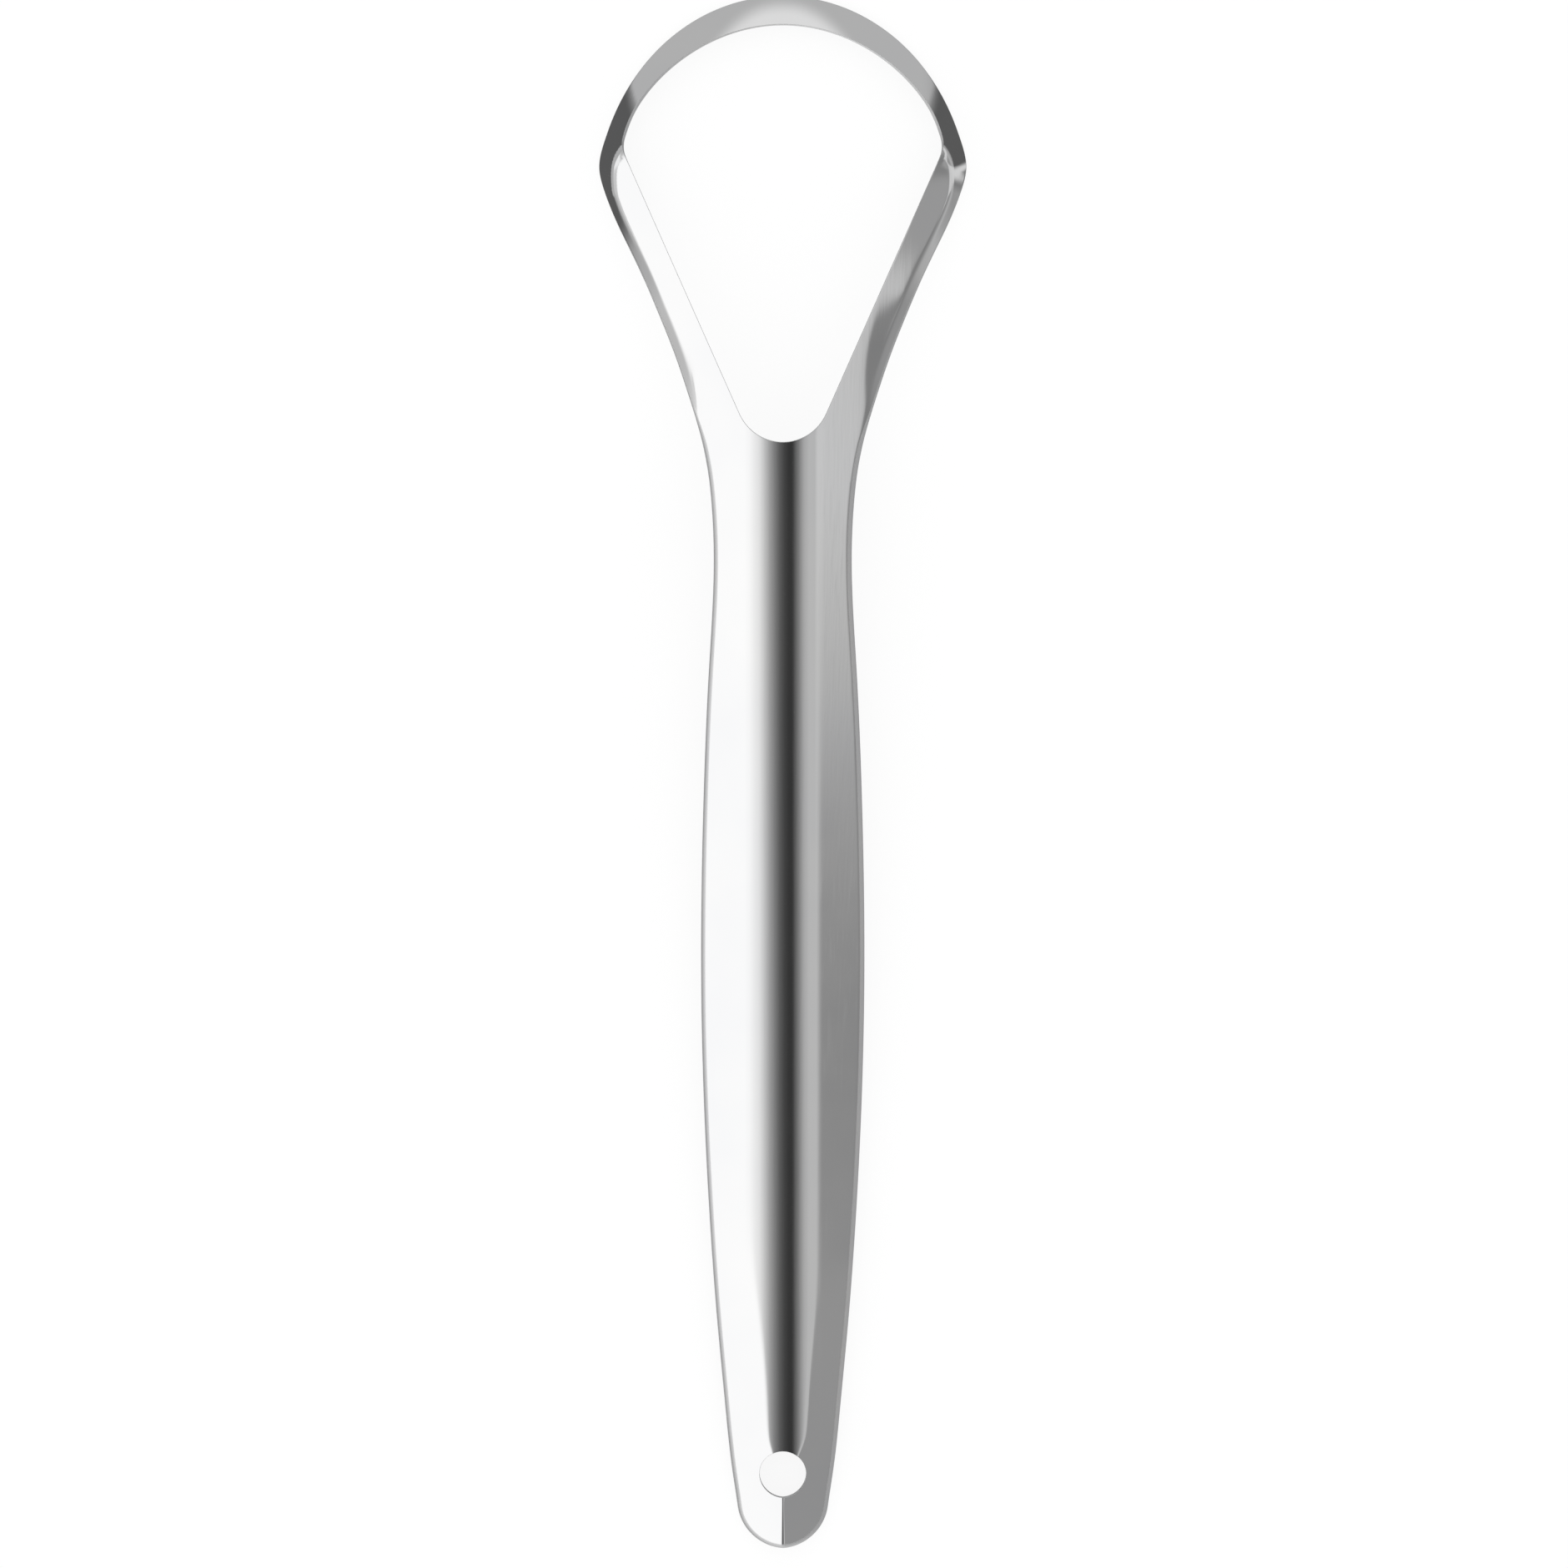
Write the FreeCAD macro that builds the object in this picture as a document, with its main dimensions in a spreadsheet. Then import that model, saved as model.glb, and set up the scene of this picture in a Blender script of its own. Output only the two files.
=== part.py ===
import FreeCAD, Part
import math
import os
import Sketcher

# A tongue scraper pressed from one sheet of polished stainless steel. Lengths are in millimetres and
# angles in degrees. It is drawn with the tip of the handle at Y = 0, the head toward +Y and the ridge of
# the handle along the Y axis, and is then laid on the table as it rests, ridge up.
document = FreeCAD.newDocument("tongue_scraper")
sizes = document.addObject("Spreadsheet::Sheet", "sizes")

driving_sizes = {
    "overall_length": 150.0,
    "head_length": 38.0,
    "head_width": 35.6,
    "sheet_thickness": 1.0,
    "side_slope": 28.0,
    "crown_radius": 8.5,
    "tip_radius": 4.4,
    "tip_flare": 8.0,
    "tip_width": 8.7,
    "tip_ridge_width": 1.4,
    "tip_ridge_drop": 1.0,
    "tail_position": 14.0,
    "tail_width": 11.2,
    "tail_ridge_width": 5.4,
    "grip_position": 30.0,
    "grip_width": 13.9,
    "belly_position": 53.0,
    "belly_width": 15.74,
    "waist_width": 15.2,
    "neck_setback": 17.0,
    "neck_width": 13.3,
    "shoulder_setback": 7.0,
    "shoulder_width": 14.7,
    "root_width": 18.6,
    "root_gap": 10.4,
    "throat_setback": 5.0,
    "hole_diameter": 4.5,
    "hole_position": 7.25,
    "arm_reach": 8.0,
    "arm_width": 3.28,
    "wrist_reach": 19.5,
    "wrist_width": 3.35,
    "corner_width": 2.2,
    "outer_corner_offset": 0.4,
    "inner_corner_offset": 2.85,
    "arch_inset": 0.2,
    "arch_slimming": 0.42,
    "strip_width": 3.3,
    "front_tilt": 28.5,
    "side_tilt": 68.5,
    "edge_drop": 12.103,
    "tail_drop": 3.22,
}
for row, (name, value) in enumerate(driving_sizes.items(), start=1):
    sizes.set(f"A{row}", name)
    sizes.set(f"B{row}", str(value))
    sizes.setAlias(f"B{row}", name)
document.recompute()

# Sizes that follow from those above. The head keeps its length, and the handle takes up what is left. The
# sides of the handle and both arms lie in two planes that slope down from the ridge, and the scraping edge
# of the arch lies in the plane of the table.
following_sizes = {
    "root_position": "overall_length - head_length",
    "shoulder_position": "root_position - shoulder_setback",
    "neck_position": "root_position - neck_setback",
    "waist_position": "(belly_position + neck_position) / 2",
    "throat_position": "root_position - throat_setback",
    "crown_width": "2 * crown_radius * sin(side_slope)",
    "crown_edge_drop": "crown_radius * (1 - cos(side_slope))",
    "arch_radius": "head_width / 2 - arch_inset",
    "arch_centre": "overall_length - arch_radius",
    "rest_angle": "atan((edge_drop - tail_drop) / (overall_length - sheet_thickness * sin(front_tilt)))",
    "crease_inner_x": "head_width / 2 - corner_width",
    "crease_inner_y": "arch_centre + inner_corner_offset",
    "crease_outer_x": "head_width / 2",
    "crease_outer_y": "arch_centre + outer_corner_offset",
    "root_inner_x": "root_gap / 2",
    "root_inner_y": "root_position",
    "root_outer_x": "root_width / 2",
    "root_outer_y": "root_position",
    "arm_angle": "atan((crease_inner_x - root_inner_x) / (crease_inner_y - root_inner_y))",
}
for place in ("arm", "wrist"):
    following_sizes[f"{place}_inner_x"] = f"root_inner_x + {place}_reach * tan(arm_angle)"
    following_sizes[f"{place}_inner_y"] = f"root_inner_y + {place}_reach"
    following_sizes[f"{place}_outer_x"] = f"{place}_inner_x + {place}_width * cos(arm_angle)"
    following_sizes[f"{place}_outer_y"] = f"{place}_inner_y - {place}_width * sin(arm_angle)"
for place in ("root", "arm", "wrist", "crease"):
    for edge in ("inner", "outer"):
        following_sizes[f"{place}_{edge}_z"] = (
            f"-crown_edge_drop - ({place}_{edge}_x - crown_width / 2) * tan(side_slope)")
following_sizes["arm_apex"] = "root_inner_y - root_inner_x / tan(arm_angle)"
following_sizes["throat_radius"] = (
    "(throat_position - arm_apex) * sin(arm_angle) / (1 - sin(arm_angle))")

# Four places round one half of the arch. The strip leans outward, least at the crest and most at the sides.
arch_angles = {"low": 22, "middle": 40, "high": 62, "crest": 90}
for place, angle in arch_angles.items():
    following_sizes[f"{place}_tilt"] = f"front_tilt + (side_tilt - front_tilt) * cos({angle}) ^ 2"
    following_sizes[f"{place}_radius"] = f"arch_radius - arch_slimming * sin({2 * angle}) * cos({angle})"
    following_sizes[f"{place}_inner_radius"] = f"{place}_radius - strip_width * cos({place}_tilt)"
    following_sizes[f"{place}_edge_radius"] = f"{place}_radius - sheet_thickness * sin({place}_tilt)"
    following_sizes[f"{place}_edge_z"] = (
        f"-tail_drop - (arch_centre + {place}_edge_radius * sin({angle})) * tan(rest_angle)")
    following_sizes[f"{place}_inner_x"] = f"{place}_inner_radius * cos({angle})"
    following_sizes[f"{place}_inner_y"] = f"arch_centre + {place}_inner_radius * sin({angle})"
    following_sizes[f"{place}_outer_x"] = f"{place}_radius * cos({angle})"
    following_sizes[f"{place}_outer_y"] = f"arch_centre + {place}_radius * sin({angle})"
    following_sizes[f"{place}_outer_z"] = f"{place}_edge_z + sheet_thickness * cos({place}_tilt)"
    following_sizes[f"{place}_inner_z"] = f"{place}_outer_z + strip_width * sin({place}_tilt)"

# One more place between the crease and the arch, where the strip turns over to its steeper lean.
following_sizes["fold_inner_radius"] = "(low_inner_radius + hypot(crease_inner_x; inner_corner_offset)) / 2"
following_sizes["fold_inner_x"] = "fold_inner_radius * cos(15.5)"
following_sizes["fold_inner_y"] = "arch_centre + fold_inner_radius * sin(15.5)"
following_sizes["fold_inner_z"] = "(crease_inner_z + low_inner_z) / 2"
following_sizes["fold_outer_x"] = "arch_radius * cos(9.5)"
following_sizes["fold_outer_y"] = "arch_centre + arch_radius * sin(9.5)"
following_sizes["fold_outer_z"] = "(crease_outer_z + low_outer_z) / 2"
for row, (name, formula) in enumerate(following_sizes.items(), start=1):
    sizes.set(f"D{row}", name)
    sizes.set(f"E{row}", f"={formula}")
    sizes.setAlias(f"E{row}", name)
document.recompute()


def evaluate(owner, expression):
    value = owner.evalExpression(expression)
    return float(getattr(value, "Value", value))


def new_body(label):
    body = document.addObject("PartDesign::Body", label)
    body.Label = label
    return body


def new_sketch(body, name, plane, across="0", up="0", along="0", heading="0"):
    # A sketch on one of the body's own planes, moved off it and turned about the upright axis.
    sketch = body.newObject("Sketcher::SketchObject", name)
    support = [feature for feature in body.Origin.OriginFeatures if feature.Role == plane][0]
    sketch.AttachmentSupport = [(support, "")]
    sketch.MapMode = "FlatFace"
    turn = FreeCAD.Rotation(FreeCAD.Vector(0, 1, 0), evaluate(sketch, heading))
    sketch.AttachmentOffset = FreeCAD.Placement(FreeCAD.Vector(), turn)
    sketch.setExpression("AttachmentOffset.Base.x", across)
    sketch.setExpression("AttachmentOffset.Base.y", up)
    sketch.setExpression("AttachmentOffset.Base.z", along)
    if heading != "0":
        sketch.setExpression("AttachmentOffset.Rotation.Angle", heading)
    return sketch


def line(sketch, start, end):
    first = FreeCAD.Vector(start[0], start[1], 0)
    second = FreeCAD.Vector(end[0], end[1], 0)
    return sketch.addGeometry(Part.LineSegment(first, second))


def arc(sketch, centre, radius, start, end):
    circle = Part.Circle(FreeCAD.Vector(0, centre, 0), FreeCAD.Vector(0, 0, 1), radius)
    return sketch.addGeometry(Part.ArcOfCircle(circle, math.radians(start), math.radians(end)))


def constrain(sketch, kind, *places):
    sketch.addConstraint(Sketcher.Constraint(kind, *places))


def bind(sketch, kind, places, expression):
    index = sketch.addConstraint(Sketcher.Constraint(kind, *places, evaluate(sketch, expression)))
    sketch.setExpression(f"Constraints[{index}]", expression)


def loft(body, name, sections):
    feature = body.newObject("PartDesign::AdditiveLoft", name)
    feature.Profile = sections[0]
    feature.Sections = sections[1:]
    return feature


def cut_through(body, name, sketch):
    pocket = body.newObject("PartDesign::Pocket", name)
    pocket.Profile = sketch
    pocket.SideType = "Symmetric"
    pocket.Type = "ThroughAll"
    return pocket


def gutter_section(body, name, position, width, ridge_width, ridge_drop):
    # The roof-shaped section of the handle: a round crown between two straight sides, one sheet thick.
    sketch = new_sketch(body, name, "XZ_Plane", along=f"-({position})")
    radius = evaluate(sketch, "sizes.crown_radius")
    thickness = evaluate(sketch, "sizes.sheet_thickness")
    slope = math.radians(evaluate(sketch, "sizes.side_slope"))
    half_ridge = evaluate(sketch, ridge_width) / 2
    half_width = evaluate(sketch, width) / 2
    centre = -evaluate(sketch, ridge_drop) - radius
    swing = math.asin(half_ridge / radius)
    inner = radius - thickness
    ridge_z = centre + radius * math.cos(swing)
    inside_x = inner * math.sin(swing)
    inside_z = centre + inner * math.cos(swing)
    rim_z = ridge_z - (half_width - half_ridge) * math.tan(slope)
    lower_x = half_width - thickness * math.sin(slope)
    lower_z = rim_z - thickness * math.cos(slope)
    crown = arc(sketch, centre, radius, 90 - math.degrees(swing), 90 + math.degrees(swing))
    under = arc(sketch, centre, inner, 90 - math.degrees(swing), 90 + math.degrees(swing))
    right = line(sketch, (half_ridge, ridge_z), (half_width, rim_z))
    right_rim = line(sketch, (half_width, rim_z), (lower_x, lower_z))
    right_under = line(sketch, (lower_x, lower_z), (inside_x, inside_z))
    left = line(sketch, (-half_ridge, ridge_z), (-half_width, rim_z))
    left_rim = line(sketch, (-half_width, rim_z), (-lower_x, lower_z))
    left_under = line(sketch, (-lower_x, lower_z), (-inside_x, inside_z))
    constrain(sketch, "Coincident", crown, 1, right, 1)
    constrain(sketch, "Coincident", crown, 2, left, 1)
    constrain(sketch, "Coincident", under, 1, right_under, 2)
    constrain(sketch, "Coincident", under, 2, left_under, 2)
    constrain(sketch, "Coincident", crown, 3, under, 3)
    for side, rim, below in ((right, right_rim, right_under), (left, left_rim, left_under)):
        constrain(sketch, "Coincident", side, 2, rim, 1)
        constrain(sketch, "Coincident", rim, 2, below, 1)
    for first, second, end in ((right, left, 1), (right, left, 2), (right_rim, left_rim, 2)):
        constrain(sketch, "Symmetric", first, end, second, end, -2)
    constrain(sketch, "Equal", right_under, left_under)
    constrain(sketch, "Perpendicular", right, right_rim)
    bind(sketch, "Radius", (crown,), "sizes.crown_radius")
    bind(sketch, "Radius", (under,), "sizes.crown_radius - sizes.sheet_thickness")
    bind(sketch, "DistanceY", (crown, 3, -1, 1), f"sizes.crown_radius + {ridge_drop}")
    bind(sketch, "DistanceX", (-1, 1, right, 1), f"{ridge_width} / 2")
    bind(sketch, "DistanceX", (-1, 1, right_under, 2),
         f"{ridge_width} / 2 * (1 - sizes.sheet_thickness / sizes.crown_radius)")
    bind(sketch, "DistanceX", (-1, 1, right, 2), f"{width} / 2")
    bind(sketch, "DistanceY", (right, 2, right, 1),
         f"({width} - {ridge_width}) / 2 * tan(sizes.side_slope)")
    bind(sketch, "Distance", (right_rim,), "sizes.sheet_thickness")
    return sketch


def strip_section(body, name, place, side, thickness="sizes.sheet_thickness", upright_inside=False):
    # A cut across the strip of the head, in the upright plane through its inner and outer edge points.
    run_x = f"(sizes.{place}_outer_x - sizes.{place}_inner_x)"
    run_y = f"(sizes.{place}_outer_y - sizes.{place}_inner_y)"
    run = f"hypot({run_x}; {run_y})"
    drop = f"sizes.{place}_inner_z - sizes.{place}_outer_z"
    sketch = new_sketch(body, name, "XZ_Plane", across=f"{side} * sizes.{place}_inner_x",
                        up=f"sizes.{place}_inner_z", along=f"-sizes.{place}_inner_y",
                        heading=f"atan2({run_y}; {side} * {run_x})")
    width = evaluate(sketch, run)
    fall = evaluate(sketch, drop)
    depth = evaluate(sketch, thickness)
    back_x = -depth * fall / math.hypot(width, fall)
    back_z = -depth * width / math.hypot(width, fall)
    inside = (back_x, back_z)
    if upright_inside:
        inside = (0, -depth * math.hypot(width, fall) / width)
    front = line(sketch, (0, 0), (width, -fall))
    outer = line(sketch, (width, -fall), (width + back_x, -fall + back_z))
    back = line(sketch, (width + back_x, -fall + back_z), inside)
    inner = line(sketch, inside, (0, 0))
    for first, second in ((front, outer), (outer, back), (back, inner), (inner, front)):
        constrain(sketch, "Coincident", first, 2, second, 1)
    constrain(sketch, "Coincident", front, 1, -1, 1)
    constrain(sketch, "Perpendicular", front, outer)
    constrain(sketch, "Parallel", front, back)
    if upright_inside:
        constrain(sketch, "Vertical", inner)
    else:
        constrain(sketch, "Perpendicular", front, inner)
    bind(sketch, "DistanceX", (-1, 1, front, 2), run)
    bind(sketch, "DistanceY", (front, 2, -1, 1), drop)
    bind(sketch, "Distance", (outer,), thickness)
    return sketch


def cup(sketch, radius, base, angle, top):
    # An arc that is lowest at the base on the centre line, with a straight flank leaning out on each side.
    size = evaluate(sketch, radius)
    centre = evaluate(sketch, base) + size
    lean = math.radians(evaluate(sketch, angle))
    flank_top = evaluate(sketch, top)
    start = (size * math.cos(lean), centre - size * math.sin(lean))
    end_x = start[0] + (flank_top - start[1]) * math.tan(lean)
    bowl = arc(sketch, centre, size, 180 + math.degrees(lean), 360 - math.degrees(lean))
    right = line(sketch, start, (end_x, flank_top))
    left = line(sketch, (-start[0], start[1]), (-end_x, flank_top))
    constrain(sketch, "Tangent", bowl, 2, right, 1)
    constrain(sketch, "Tangent", bowl, 1, left, 1)
    constrain(sketch, "PointOnObject", bowl, 3, -2)
    constrain(sketch, "Symmetric", right, 2, left, 2, -2)
    bind(sketch, "Radius", (bowl,), radius)
    bind(sketch, "DistanceY", (-1, 1, bowl, 3), f"{base} + {radius}")
    bind(sketch, "DistanceY", (-1, 1, right, 2), top)
    bind(sketch, "DistanceX", (-1, 1, right, 2),
         f"{radius} / cos({angle}) + ({top} - {base} - {radius}) * tan({angle})")
    return right, left, end_x, flank_top


# The handle. Its ridge runs level from the root to the grip, then narrows and falls toward the tip.
handle = new_body("handle")
gutter_sections = []
for station in ("grip", "belly", "waist", "neck", "shoulder", "root"):
    gutter_sections.append(
        gutter_section(handle, f"{station}_section", f"sizes.{station}_position",
                       f"sizes.{station}_width", "sizes.crown_width", "0"))
loft(handle, "gutter", gutter_sections)
tail_section = gutter_section(handle, "tail_section", "sizes.tail_position", "sizes.tail_width",
                              "sizes.tail_ridge_width", "0")
tip_section = gutter_section(handle, "tip_section", "0", "sizes.tip_width", "sizes.tip_ridge_width",
                             "sizes.tip_ridge_drop")
loft(handle, "tail", [gutter_sections[0], tail_section, tip_section])

# The throat is the round end of the opening between the arms.
throat = new_sketch(handle, "throat_outline", "XY_Plane")
flanks = cup(throat, "sizes.throat_radius", "sizes.throat_position", "sizes.arm_angle",
             "sizes.root_position + sizes.throat_radius")
throat_lid = line(throat, (flanks[2], flanks[3]), (-flanks[2], flanks[3]))
constrain(throat, "Coincident", flanks[0], 2, throat_lid, 1)
constrain(throat, "Coincident", flanks[1], 2, throat_lid, 2)
cut_through(handle, "throat", throat)

# All that lies outside the rounded tip is trimmed away.
trim = new_sketch(handle, "tip_outline", "XY_Plane")
flanks = cup(trim, "sizes.tip_radius", "0", "sizes.tip_flare", "sizes.tail_position")
border_x = evaluate(trim, "sizes.belly_width")
border_y = evaluate(trim, "sizes.tip_radius")
right_top = line(trim, (flanks[2], flanks[3]), (border_x, flanks[3]))
right_edge = line(trim, (border_x, flanks[3]), (border_x, -border_y))
bottom_edge = line(trim, (border_x, -border_y), (-border_x, -border_y))
left_edge = line(trim, (-border_x, -border_y), (-border_x, flanks[3]))
left_top = line(trim, (-border_x, flanks[3]), (-flanks[2], flanks[3]))
border = (flanks[0], right_top, right_edge, bottom_edge, left_edge, left_top)
for first, second in zip(border, border[1:]):
    constrain(trim, "Coincident", first, 2, second, 1)
constrain(trim, "Coincident", left_top, 2, flanks[1], 2)
for level in (right_top, left_top):
    constrain(trim, "Horizontal", level)
for upright in (right_edge, left_edge):
    constrain(trim, "Vertical", upright)
constrain(trim, "Symmetric", bottom_edge, 1, bottom_edge, 2, -2)
bind(trim, "DistanceX", (-1, 1, bottom_edge, 1), "sizes.belly_width")
bind(trim, "DistanceY", (bottom_edge, 1, -1, 1), "sizes.tip_radius")
cut_through(handle, "tip", trim)

hole = new_sketch(handle, "hole_outline", "XY_Plane")
hole_centre = FreeCAD.Vector(0, evaluate(hole, "sizes.hole_position"), 0)
hole_circle = hole.addGeometry(
    Part.Circle(hole_centre, FreeCAD.Vector(0, 0, 1), evaluate(hole, "sizes.hole_diameter") / 2))
constrain(hole, "PointOnObject", hole_circle, 3, -2)
bind(hole, "DistanceY", (-1, 1, hole_circle, 3), "sizes.hole_position")
bind(hole, "Diameter", (hole_circle,), "sizes.hole_diameter")
cut_through(handle, "hanging_hole", hole)


def slanted_thickness(place):
    # Where the sheet of an arm is cut at a slant, the cut is a little thicker than the sheet.
    run_x = f"(sizes.{place}_outer_x - sizes.{place}_inner_x)"
    run_y = f"(sizes.{place}_outer_y - sizes.{place}_inner_y)"
    lean = f"atan2(sizes.{place}_inner_z - sizes.{place}_outer_z; hypot({run_x}; {run_y}))"
    return f"sizes.sheet_thickness / cos(sizes.side_slope) * cos({lean})"


# Each arm runs on in the plane of its side of the handle, from the root to the crease at the corner.
arms = []
for label, side in (("right_arm", 1), ("left_arm", -1)):
    arm = new_body(label)
    root = strip_section(arm, f"{label}_root", "root", side, upright_inside=True)
    cuts = [root]
    for place in ("arm", "wrist", "crease"):
        cuts.append(strip_section(arm, f"{label}_{place}", place, side, slanted_thickness(place)))
    loft(arm, f"{label}_strip", cuts)
    arms.append(arm)

# The arch turns over at each crease and carries the scraping edge round the front of the head.
arch = new_body("scraping_arch")
arch_sections = [strip_section(arch, "right_crease", "crease", 1, slanted_thickness("crease"))]
for place in ("fold", "low", "middle", "high"):
    arch_sections.append(strip_section(arch, f"right_{place}", place, 1))
arch_sections.append(strip_section(arch, "crest", "crest", 1))
for place in ("high", "middle", "low", "fold"):
    arch_sections.append(strip_section(arch, f"left_{place}", place, -1))
arch_sections.append(strip_section(arch, "left_crease", "crease", -1, slanted_thickness("crease")))
loft(arch, "arch_strip", arch_sections)
document.recompute()

# The part lies on the tip of its handle and on its scraping edge, with the origin in the middle of its foot.
pieces = [handle] + arms + [arch]
lean = FreeCAD.Rotation(FreeCAD.Vector(1, 0, 0), evaluate(sizes, "rest_angle"))
points = []
for piece in pieces:
    points += [lean.multVec(point) for point in piece.Shape.tessellate(0.02)[0]]
middle_y = (min(point.y for point in points) + max(point.y for point in points)) / 2
lowest = min(point.z for point in points)
for piece in pieces:
    piece.Placement = FreeCAD.Placement(FreeCAD.Vector(0, -middle_y, -lowest), lean)
document.recompute()

for thing in document.Objects:
    if "Invalid" in thing.State or "Error" in thing.State:
        raise RuntimeError(f"{thing.Name} did not build")
for piece in pieces:
    if piece.Shape.isNull() or not piece.Shape.isValid():
        raise RuntimeError(f"{piece.Label} has no valid shape")
os.makedirs("parts", exist_ok=True)
for piece in pieces:
    piece.Shape.exportStep(f"parts/{piece.Label}.step")
    box = piece.Shape.BoundBox
    lengths = [round(length, 2) for length in (box.XLength, box.YLength, box.ZLength)]
    print(piece.Label, round(piece.Shape.Volume, 2), lengths)
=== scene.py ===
import math

import bpy
import numpy as np
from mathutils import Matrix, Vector


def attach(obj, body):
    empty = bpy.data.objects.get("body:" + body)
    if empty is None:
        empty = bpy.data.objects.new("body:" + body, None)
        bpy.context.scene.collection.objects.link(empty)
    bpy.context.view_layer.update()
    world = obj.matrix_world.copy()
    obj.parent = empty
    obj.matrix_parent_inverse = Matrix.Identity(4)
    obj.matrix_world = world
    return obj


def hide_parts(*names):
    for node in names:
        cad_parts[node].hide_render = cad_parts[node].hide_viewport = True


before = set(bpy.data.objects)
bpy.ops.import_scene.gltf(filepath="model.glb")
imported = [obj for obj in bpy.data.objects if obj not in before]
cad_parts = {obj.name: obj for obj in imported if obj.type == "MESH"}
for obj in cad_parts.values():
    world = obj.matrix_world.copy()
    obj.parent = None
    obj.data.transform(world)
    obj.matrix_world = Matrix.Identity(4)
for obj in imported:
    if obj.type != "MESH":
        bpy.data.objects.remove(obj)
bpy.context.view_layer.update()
print("frame loaded")

# Lengths in the dictionaries are millimetres and angles degrees, in the sheet's own frame: X across, Y from
# the tip of the handle to the crest of the arch, Z up from the top of the ridge.
lay = {
    "restAngle": 3.4,  # the ridge leans this much when the part lies on the table
    "middleY": 75.229,
    "tableDrop": 3.3588,
}
turn = math.radians(lay["restAngle"])
metres = 0.001


def toTable(points):
    # Turned about X by the rest angle, then moved so that the part lies centred on the table, in metres.
    x, y, z = points[..., 0], points[..., 1], points[..., 2]
    along = y * math.cos(turn) - z * math.sin(turn) - lay["middleY"]
    up = y * math.sin(turn) + z * math.cos(turn) + lay["tableDrop"]
    return np.stack([x, along, up], axis=-1) * metres


def tableHeight(y):
    # The table seen from the sheet's frame: a plane that falls with y at the rest angle.
    return -(y * math.sin(turn) + lay["tableDrop"]) / math.cos(turn)


def smooth(start, end, value):
    # Cubic step from 0 at the start to 1 at the end: three squares of the share less two cubes.
    t = np.clip((value - start) / (end - start), 0, 1)
    return t * t * (3 - 2 * t)


def soft(value, width):
    # A ramp with a rounded foot: half of the value plus the root of its square and the width's square.
    return (value + np.sqrt(value * value + width * width)) / 2


def bell(height, middle, width, value):
    # The height times e to minus the square of the distance from the middle over the width.
    return height * np.exp(-((value - middle) / width) ** 2)


def spline(knots, values, at, startSlope=None):
    # Natural cubic spline through the knots, or clamped at its start where a slope is given.
    knots = np.asarray(knots, float)
    values = np.asarray(values, float)
    gaps = np.diff(knots)
    rises = np.diff(values) / gaps
    last = len(knots) - 1
    system = np.zeros((last + 1, last + 1))
    right = np.zeros(last + 1)
    inner = np.arange(1, last)
    system[inner, inner - 1] = gaps[:-1]
    system[inner, inner] = 2 * (gaps[:-1] + gaps[1:])
    system[inner, inner + 1] = gaps[1:]
    right[inner] = 6 * np.diff(rises)
    system[0, 0] = system[-1, -1] = 1
    if startSlope is not None:
        system[0, :2] = 2 * gaps[0], gaps[0]
        right[0] = 6 * (rises[0] - startSlope)
    bend = np.linalg.solve(system, right)
    cell = np.clip(np.searchsorted(knots, at) - 1, 0, last - 1)
    left, gap = at - knots[cell], gaps[cell]
    slope = rises[cell] - gap * (2 * bend[cell] + bend[cell + 1]) / 6
    curve = bend[cell] / 2 + left * (bend[cell + 1] - bend[cell]) / 6 / gap
    return values[cell] + left * (slope + left * curve)


def evenly(path, marks, counts):
    # Points along a polyline: between each two marked places, so many equal steps of its length.
    steps = np.linalg.norm(np.diff(path, axis=0), axis=1)
    length = np.concatenate([[0], np.cumsum(steps)])
    nearest = [np.argmin(np.linalg.norm(path - mark, axis=1)) for mark in np.asarray(marks, float)]
    stops = length[nearest]
    at = [np.linspace(a, b, n, endpoint=False) for a, b, n in zip(stops, stops[1:], counts)]
    at = np.concatenate(at + [[stops[-1]]])
    return np.stack([np.interp(at, length, path[:, k]) for k in (0, 1)], axis=1), at


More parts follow.
